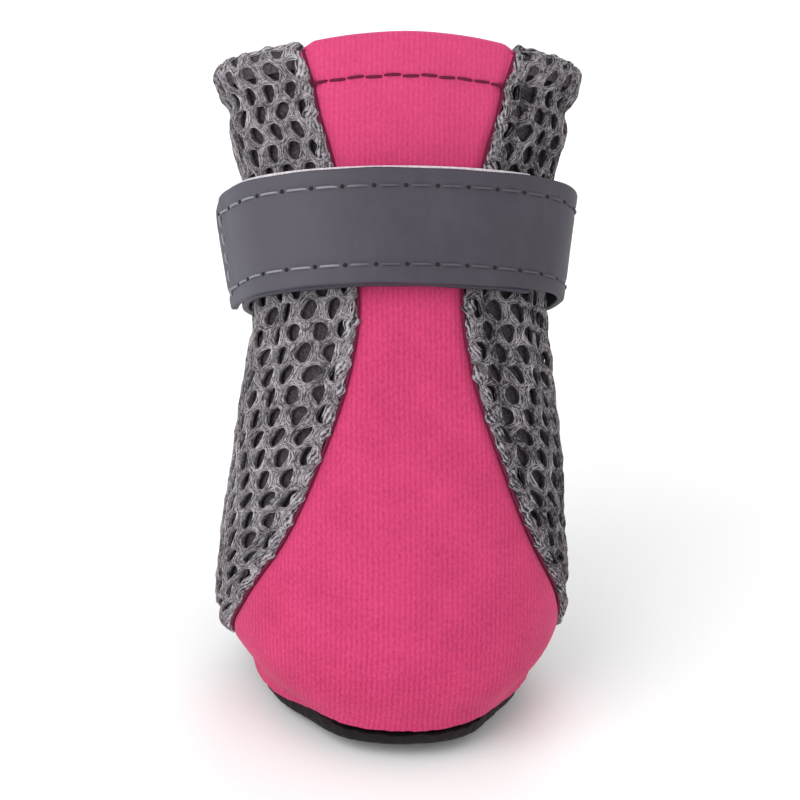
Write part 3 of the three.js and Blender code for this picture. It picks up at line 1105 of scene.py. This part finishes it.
def dishRings():
    thick, floorInset = sole["thick"], sole["floorInset"]
    flat = (0, 0.2, 0.4, 0.6, 0.78, 0.93)
    inside = [(floorInset, share, 0, thick) for share in flat]
    inside += [(floorInset, 1, 0.04, thick), (2.7, 1, 0.16, thick), (2.2, 1, 0.4, thick), (1.8, 1, 0.75, thick)]
    rim = [(thick, 1, 0.97, 0), (1.2, 1, 1, 0), (0.35, 1, 1, 0), (0, 1, 0.94, 0)]
    outside = [(0.02, 1, 0.75, 0), (0.2, 1, 0.52, 0), (0.5, 1, 0.33, 0), (1.0, 1, 0.19, 0), (1.8, 1, 0.08, 0),
               (2.6, 1, 0.03, 0)]
    under = [(floorInset, share, 0, 0) for share in reversed(flat)]
    return inside + rim + outside + under


def makeOutsole():
    piece = makeRings("outsole_dish", dishRings(), sole["around"])
    return finishPiece(piece, rubberBlack, "sole_rubber", "outsole", angle=40)


def makeGripBars():
    turns = np.linspace(0, math.pi, 91)
    outline = dishPoint(turns, np.zeros(91), np.ones(91), np.ones(91), np.zeros(91)) / mm
    made = []
    for i in range(-gripBars["each"], gripBars["each"] + 1):
        y = i * gripBars["pitch"]
        reach = np.interp(y, outline[:, 1], outline[:, 0]) * gripBars["reach"] - gripBars["wide"] / 2
        deep = float(soleRise(np.array(y))) + gripBars["sunk"]
        deselectAll()
        bpy.ops.mesh.primitive_cylinder_add(
            vertices=gripBars["sides"], radius=gripBars["wide"] / 2 * mm, depth=deep * mm)
        bar = added(f"bar{i + gripBars['each']}")
        points = readPoints(bar)
        points[:, 0] += np.where(points[:, 0] > 1e-6, 1, np.where(points[:, 0] < -1e-6, -1, 0)) * reach * mm
        points += (0, y * mm, deep / 2 * mm)
        writePoints(bar, points)
        modify(bar, "BEVEL", width=gripBars["bevel"] * mm, segments=2, limit_method="ANGLE")
        made.append(bar)
    deselectAll()
    for bar in made:
        bar.select_set(True)
    bpy.context.view_layer.objects.active = made[0]
    bpy.ops.object.join()
    piece = added("grip_bars")
    return finishPiece(piece, rubberBlack, "sole_rubber", angle=40)


print("outsole")
outsoleDish = makeOutsole()
soleGrip = makeGripBars()

# Insole: thin foam covered with cloth, with a softened edge
insole = {"thick": 1.0, "inset": 4.2, "around": 112}


def makeInsole():
    under = sole["thick"] + sole["gap"]
    top, inset = under + insole["thick"], insole["inset"]
    flat = (0, 0.25, 0.5, 0.75, 0.93)
    rings = [(inset, share, 0, top) for share in flat]
    rings += [(inset, 0.985, 0.01, top), (inset, 1, 0.02, top - 0.2), (inset, 1, 0.02, top - 0.6)]
    rings += [(inset, 0.985, 0.01, under)] + [(inset, share, 0, under) for share in reversed(flat)]
    piece = makeRings("insole_pad", rings, insole["around"])
    return finishPiece(piece, foamCloth, "insole_foam", "insole")


insolePad = makeInsole()


# Strap: one band whose path climbs from its inner layer to its outer layer round the heel side.
# Its flat place is x along the band from the free end, y across it from its lower edge, z its height.
strap = {
    "low": -0.05, "high": 0.92, "front": 0.45, "side": 0.8, "back": 0.45, "thick": 1.2, "wide": 17.0,
    "innerEnd": 48, "outerEnd": -453, "layer": 2.5, "climbFrom": -170, "climbRun": 110,
    "alongSteps": 300, "acrossSteps": 34, "edge": 0.35, "groove": 0.22, "stitchInset": 3.0, "endStitch": 2.5,
    "cornerRound": 6.0, "endFlare": 1.0, "pinch": 0.55, "lowTuck": 1.0, "sideTuck": 1.4,
}


def strapHeight(degrees):
    return strap["layer"] * smooth((strap["climbFrom"] - degrees) / strap["climbRun"], 0, 1)


def strapPoint(across, degrees, height):
    turn = np.radians(degrees)
    section = lastSection(levelOf["strapLower"] + across)
    frontY, frontZ, backY, backZ = np.moveaxis(section[..., :4], -1, 0).copy()
    lean = np.arctan2(frontZ - backZ, backY - frontY)
    front, back = strap["front"] + height, strap["back"] + height
    section[..., 0] = frontY - front * np.cos(lean)
    section[..., 1] = frontZ + front * np.sin(lean)
    section[..., 2] = backY + back * np.cos(lean)
    section[..., 3] = backZ - back * np.sin(lean)
    section[..., 4] += strap["side"] + height
    section[..., 6] += 0.25 * np.sin(turn) ** 2
    return sectionPoint(section, turn)


strapDegrees = np.linspace(strap["outerEnd"], strap["innerEnd"], 1400)
strapLine = strapPoint(np.full(1400, 0.43), strapDegrees, strapHeight(strapDegrees) + strap["thick"])
strapRun = np.concatenate([[0], np.cumsum(np.linalg.norm(np.diff(strapLine, axis=0), axis=1))])
strapLength = strapRun[-1]


def bandPlace(x, y, z):
    degrees = np.interp(x, strapRun, strapDegrees)
    across = strap["low"] + (strap["high"] - strap["low"]) * y / strap["wide"]
    low = 1 - y / strap["wide"]
    flare = strap["endFlare"] * (1 - 0.7 * low) * (1 - smooth(x, 0, 6)) - strap["pinch"] * bell(x, 9, 6)
    flare = flare - strap["lowTuck"] * low * (1 - smooth(x, 4, 22)) - strap["sideTuck"] * low * bell(x, 84, 26)
    return strapPoint(across, degrees, strapHeight(degrees) + z + flare) * mm


def layOnBand(piece):
    flat = readPoints(piece)
    writePoints(piece, bandPlace(flat[:, 0], flat[:, 1], flat[:, 2]))


def makeStrap():
    piece = cutGrid("strap_band", (0, 0), (strapLength, strap["wide"]), strap["alongSteps"], strap["acrossSteps"])
    flat = readPoints(piece)
    storeUv(piece, flat[:, :2].copy())
    modify(piece, "SOLIDIFY", thickness=strap["thick"] - 0.1, offset=-1)
    modify(piece, "BEVEL", width=strap["edge"], segments=3, limit_method="ANGLE", angle_limit=math.radians(60))
    flat = readPoints(piece)
    flat[:, 2] += strap["thick"] - 0.1
    x, y = flat[:, 0], flat[:, 1]
    inset, wide = strap["stitchInset"], strap["wide"]
    grooves = bell(y, inset, 0.55) + bell(y, wide - inset, 0.55) + bell(x, strap["endStitch"], 0.5)
    swell = 0.12 * (1 - np.abs(2 * y / wide - 1) ** 4)
    outer = smooth(flat[:, 2], 0.4, 1.0)
    flat[:, 2] += outer * (swell - strap["groove"] * np.minimum(grooves, 1))
    # the free end's upper corner is rounded off and its lower corner hangs a little
    corner = strap["cornerRound"]
    cut = corner - np.sqrt(np.maximum(corner**2 - np.maximum(corner - x, 0) ** 2, 0))
    flat[:, 1] = np.where(y > wide / 2, y - cut * (y - wide / 2) / (wide / 2), y)
    flat[:, 1] -= 0.5 * (1 - smooth(x, 0, 5)) * (1 - smooth(y, 0, 9))
    flat[:, 1] += 0.10 * np.sin(x * 0.21 + 0.6) + 0.05 * np.sin(x * 0.57)
    flat[:, 1] += 1.0 * bell(x, 84, 20) * (1 - y / wide)
    writePoints(piece, bandPlace(flat[:, 0], flat[:, 1], flat[:, 2]))
    faceOut(piece)
    return finishPiece(piece, bandGrey, "strap_band", "strap", angle=45)


print("strap")
strapBand = makeStrap()


# Lengths of thread: one rounded stitch is modelled, arrayed flat and laid along its line
def makeStitchRow(name, count, pitch, length, radius, sides=8):
    deselectAll()
    bpy.ops.mesh.primitive_cylinder_add(vertices=sides, radius=radius, depth=length, end_fill_type="NOTHING")
    piece = added(name)
    bpy.ops.object.mode_set(mode="EDIT")
    bpy.ops.mesh.select_all(action="SELECT")
    bpy.ops.mesh.subdivide(number_cuts=5)
    bpy.ops.object.mode_set(mode="OBJECT")
    return piece, count, pitch, length, radius


threadRows = {"sides": 8, "segments": 8}


def stitchBlank(name, length, radius):
    segments, sides = threadRows["segments"], threadRows["sides"]
    deselectAll()
    bpy.ops.mesh.primitive_circle_add(vertices=sides, radius=1, fill_type="NOTHING")
    piece = added(name)
    bpy.ops.object.mode_set(mode="EDIT")
    bpy.ops.mesh.select_all(action="SELECT")
    for _ in range(segments):
        bpy.ops.mesh.extrude_edges_move(TRANSFORM_OT_translate={"value": (0, 0, 1)})
    bpy.ops.object.mode_set(mode="OBJECT")
    points = readPoints(piece)
    angle = np.arctan2(points[:, 1], points[:, 0])
    share = points[:, 2] / segments
    full = np.sqrt(np.maximum(1 - np.abs(2 * share - 1) ** 6, 0.0))
    dip = -2.2 * radius * np.abs(2 * share - 1) ** 4
    along = (share - 0.5) * length
    writePoints(piece, np.stack([along, radius * full * np.cos(angle), radius * full * np.sin(angle) + dip], -1))
    storeUv(piece, np.stack([along, angle], -1))
    weld(piece, radius * 0.02)
    faceOut(piece)
    return piece


def repeatAlong(piece, count, pitch):
    modify(piece, "ARRAY", count=count, use_relative_offset=False, use_constant_offset=True,
           constant_offset_displace=(pitch, 0, 0))


bandStitch = {"pitch": 4.7, "length": 3.9, "radius": 0.19, "endPitch": 2.6, "endLength": 2.1, "hole": 0.36}


def makeBandStitches():
    rows = []
    count = int((strapLength - 8) / bandStitch["pitch"])
    for y in (strap["stitchInset"], strap["wide"] - strap["stitchInset"]):
        row = stitchBlank("row", bandStitch["length"], bandStitch["radius"])
        repeatAlong(row, count, bandStitch["pitch"])
        points = readPoints(row) + (4.5, y, strap["thick"] - 0.02)
        writePoints(row, points)
        rows.append(row)
    end = stitchBlank("row", bandStitch["endLength"], bandStitch["radius"])
    repeatAlong(end, 5, bandStitch["endPitch"])
    points = readPoints(end)
    points = np.stack([points[:, 1] + strap["endStitch"], points[:, 0] + 2.6, points[:, 2] + strap["thick"] - 0.02], -1)
    writePoints(end, points)
    rows.append(end)
    piece = joinPieces(rows, "band_stitches")
    layOnBand(piece)
    return finishPiece(piece, bandThread, "strap_band", angle=80)


# Painted shade: small dark domes, half sunk into the band between the stitches, for the shade in the needle holes.
def makeNeedleHoleShades():
    deselectAll()
    bpy.ops.mesh.primitive_uv_sphere_add(segments=8, ring_count=5, radius=bandStitch["hole"])
    hole = added("needle_hole_shades")
    writePoints(hole, readPoints(hole) * (1, 1, 0.35))
    count = int((strapLength - 8) / bandStitch["pitch"])
    repeatAlong(hole, count, bandStitch["pitch"])
    inset, wide = strap["stitchInset"], strap["wide"]
    points = readPoints(hole) + (4.5 - bandStitch["pitch"] / 2, inset, strap["thick"] - 0.14)
    writePoints(hole, points)
    pick(hole)
    bpy.ops.object.duplicate()
    second = bpy.context.object
    writePoints(second, readPoints(second) + (0, wide - 2 * inset, 0))
    piece = joinPieces([hole, second], "needle_hole_shades")
    layOnBand(piece)
    return finishPiece(piece, needleShadeFinish, "strap_band", angle=80)


bandStitches = makeBandStitches()
needleHoleShades = makeNeedleHoleShades()

# Hook tape inside the free end, whose pale edge shows over the band, and loop pile on the inner layer
hook = {"from": 42, "to": -84, "low": 0.02, "high": 0.96, "thick": 0.7, "height": 1.5}
loop = {"from": -98, "to": -166, "low": 0.08, "high": 0.80, "thick": 0.35, "height": 1.22}


def makeTape(name, tape, material, slot, *nodes):
    piece = cutGrid(name, (tape["from"], tape["low"]), (tape["to"], tape["high"]), 90, 16)
    flat = readPoints(piece)
    storeUv(piece, flat[:, :2].copy())
    writePoints(piece, strapPoint(flat[:, 1], flat[:, 0], np.full(len(flat), tape["height"] + tape["thick"])) * mm)
    faceOutwards(piece)
    modify(piece, "SOLIDIFY", thickness=tape["thick"] * mm, offset=-1)
    modify(piece, "BEVEL", width=0.12 * mm, segments=2, limit_method="ANGLE", angle_limit=math.radians(60))
    return finishPiece(piece, material, slot, *nodes)


hookTape = makeTape("hook_tape_strip", hook, hookPale, "hook_tape", "hook_tape")
loopTape = makeTape("loop_tape_strip", loop, loopPile, "strap_band")


# Hem stitches across the knit at the collar
hemStitch = {"pitch": 2.8, "length": 3.25, "radius": 0.25, "count": 11, "wander": 0.12}


def makeHemStitches():
    piece = stitchBlank("hem_stitches", hemStitch["length"], hemStitch["radius"])
    repeatAlong(piece, hemStitch["count"], hemStitch["pitch"])
    flat = readPoints(piece)
    arc = flat[:, 0] - (hemStitch["count"] - 1) / 2 * hemStitch["pitch"]
    order = np.round(flat[:, 0] / hemStitch["pitch"])
    run = sideRun[-1] - hem["depth"] + flat[:, 1] + hemStitch["wander"] * np.sin(order * 2.4 + flat[:, 0] * 0.4)
    level = np.interp(run, sideRun, levelSteps)
    turn = np.sign(arc) * np.abs(turnFor(level, halfGirth(level) - np.abs(arc)))
    writePoints(piece, layOnLast(level, turn, np.zeros(len(flat)), flat[:, 2] + 0.08, np.zeros(len(flat))))
    return finishPiece(piece, hemThread, "upper_cloth", angle=80)


hemStitches = makeHemStitches()


# A dark thread sunk in the seam on each side of the knit; its dark line is partly real thread and partly painted shade
# in the seam's gap.
seam = {"radius": 0.30, "steps": 170, "sides": 8, "drop": 0.30}


def makeSeam(name, side):
    piece = cutGrid(name, (0, 0), (1, rimLevel), seam["sides"], seam["steps"])
    flat = readPoints(piece)
    level = flat[:, 1]
    angle = flat[:, 0] * 2 * math.pi
    arc = panelHalf(level) + seam["radius"] * np.cos(angle) - 0.15
    lift = seam["radius"] * np.sin(angle) - seam["drop"]
    turn = side * np.abs(turnFor(level, halfGirth(level) - arc))
    writePoints(piece, layOnLast(level, turn, np.zeros(len(flat)), lift, np.zeros(len(flat))))
    storeUv(piece, np.stack([frontHeight(level), angle], -1))
    weld(piece, 0.00001)
    editAll(piece, lambda: bpy.ops.mesh.fill_holes(sides=0))
    faceOut(piece)
    return finishPiece(piece, hemThread, "upper_cloth", angle=80)


seams = [makeSeam("seam_left", -1), makeSeam("seam_right", 1)]
print("stitches and seams")


# Floor, light and camera
view = {
    "target": (0, 2, 46), "elevation": 24, "yaw": 7, "roll": 3.0, "distance": 420, "lens": 122,
}


def makeStage():
    deselectAll()
    bpy.ops.mesh.primitive_plane_add(size=6)
    floor = added("floor")
    f = Finish("floor_white")
    cloud = f.noise(f.place(), 3.0)
    floor.data.materials.append(f.shade(f.blend(cloud, (0.955, 0.955, 0.955, 1), (0.975, 0.975, 0.975, 1)), 0.9))
    world = bpy.data.worlds.new("studio")
    bpy.context.scene.world = world
    world.use_nodes = True
    world.node_tree.nodes["Background"].inputs[0].default_value = (1, 1, 1, 1)
    world.node_tree.nodes["Background"].inputs[1].default_value = 0.78


def makeLight(name, place, target, size, power):
    deselectAll()
    bpy.ops.object.light_add(type="AREA", location=Vector(place) * mm)
    light = bpy.context.object
    light.name = name
    light.data.size = size * mm
    light.data.energy = power
    aim = (Vector(target) * mm - light.location).to_track_quat("-Z", "Y")
    light.rotation_mode = "QUATERNION"
    light.rotation_quaternion = aim


def makeCamera():
    yaw, elevation, roll = (math.radians(view[name]) for name in ("yaw", "elevation", "roll"))
    look = Vector((math.sin(yaw) * math.cos(elevation), math.cos(yaw) * math.cos(elevation), -math.sin(elevation)))
    right = Vector((math.cos(yaw), -math.sin(yaw), 0))
    up = right.cross(look)
    rolledRight = right * math.cos(roll) + up * math.sin(roll)
    rolledUp = up * math.cos(roll) - right * math.sin(roll)
    place = Vector(view["target"]) * mm - look * view["distance"] * mm
    deselectAll()
    bpy.ops.object.camera_add()
    camera = bpy.context.object
    camera.matrix_world = Matrix.Translation(place) @ Matrix((rolledRight, rolledUp, -look)).transposed().to_4x4()
    camera.data.lens = view["lens"]
    camera.data.sensor_width = 36
    camera.data.clip_start = 0.01
    camera.data.clip_end = 20
    bpy.context.scene.camera = camera


makeStage()
makeLight("key", (-380, -320, 420), (0, 0, 45), 520, 2.2)
makeLight("fill", (300, -420, 260), (0, 0, 50), 400, 0.25)
makeLight("back", (100, 420, 380), (0, 10, 60), 300, 0.8)
makeCamera()
bpy.context.scene.view_settings.view_transform = "Standard"
print("stage")
